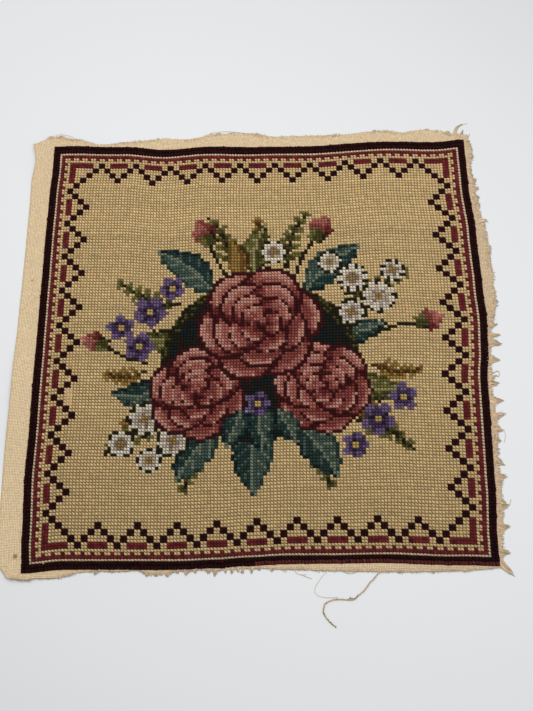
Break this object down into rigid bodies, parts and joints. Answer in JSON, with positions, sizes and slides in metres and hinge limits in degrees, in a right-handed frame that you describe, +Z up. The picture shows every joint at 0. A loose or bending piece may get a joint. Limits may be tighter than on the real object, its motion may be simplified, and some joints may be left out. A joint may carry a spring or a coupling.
{
  "type": "needlepoint panel",
  "caption": "Square wool needlepoint panel on an unhemmed canvas, lying flat, with a geometric border, frayed edges and a loose thread.",
  "frame": {"origin": "middle of the stitched square, on the surface that the panel lies on", "axes": "+X across the design to the right, +Y up the design, +Z up out of the face"},
  "size_m": [0.3939, 0.419, 0.006],
  "materials": {
    "canvas": "plain woven cotton, matt, unbleached",
    "wool": "cross stitches of twisted wool, matt",
    "thread": "twisted yarn, matt"
  },
  "bodies": {
    "root": {"canvas": "canvas", "stitched_wool": "wool", "frayed_edge_right": "canvas", "frayed_edge_bottom": "canvas", "frayed_edge_top": "canvas", "frayed_corner_lower": "canvas", "frayed_corner_upper": "canvas", "loose_thread": "thread", "fine_thread": "canvas"}
  },
  "joints": []
}
